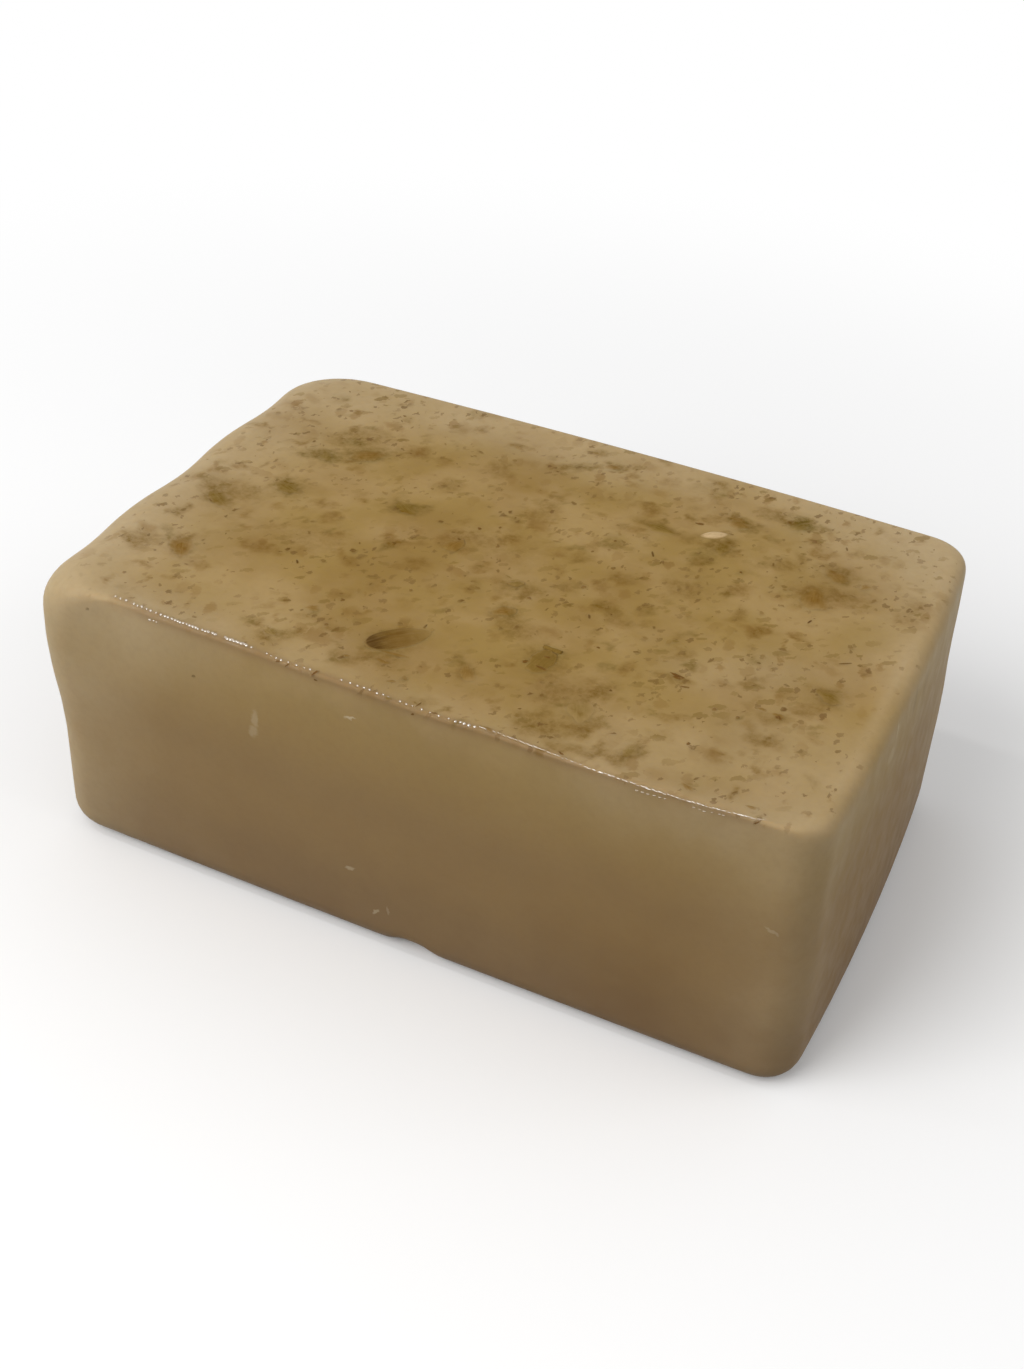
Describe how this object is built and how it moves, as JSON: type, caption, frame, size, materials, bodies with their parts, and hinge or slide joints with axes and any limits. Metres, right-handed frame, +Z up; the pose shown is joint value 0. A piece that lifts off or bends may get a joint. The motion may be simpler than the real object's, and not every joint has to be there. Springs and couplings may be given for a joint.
{
  "type": "pet shampoo bar",
  "caption": "Hand-cast solid shampoo bar for pets: a soft-cornered block of soap with dried petals, leaf and oat strewn on its top.",
  "frame": {"origin": "middle of the flat base that the bar rests on", "axes": "+X along the bar towards its squarer end, +Y from its front to its back, +Z up out of the pour face"},
  "size_m": [0.0825, 0.0542, 0.0325],
  "materials": {
    "soap": "satin, slightly see-through soap",
    "dried_bud": "dry, matt",
    "dried_leaf": "dry, matt",
    "dried_petal": "dry, matt",
    "oat": "dry, matt",
    "husk": "dry, matt"
  },
  "bodies": {
    "root": {"soap_bar": "soap", "flower_bud": "dried_bud", "folded_leaf": "dried_leaf", "oat_flake": "oat", "leaf_flakes": "dried_leaf", "petal_flakes": "dried_petal", "stalk_slivers": "husk", "husk_crumbs": "husk"}
  },
  "joints": []
}
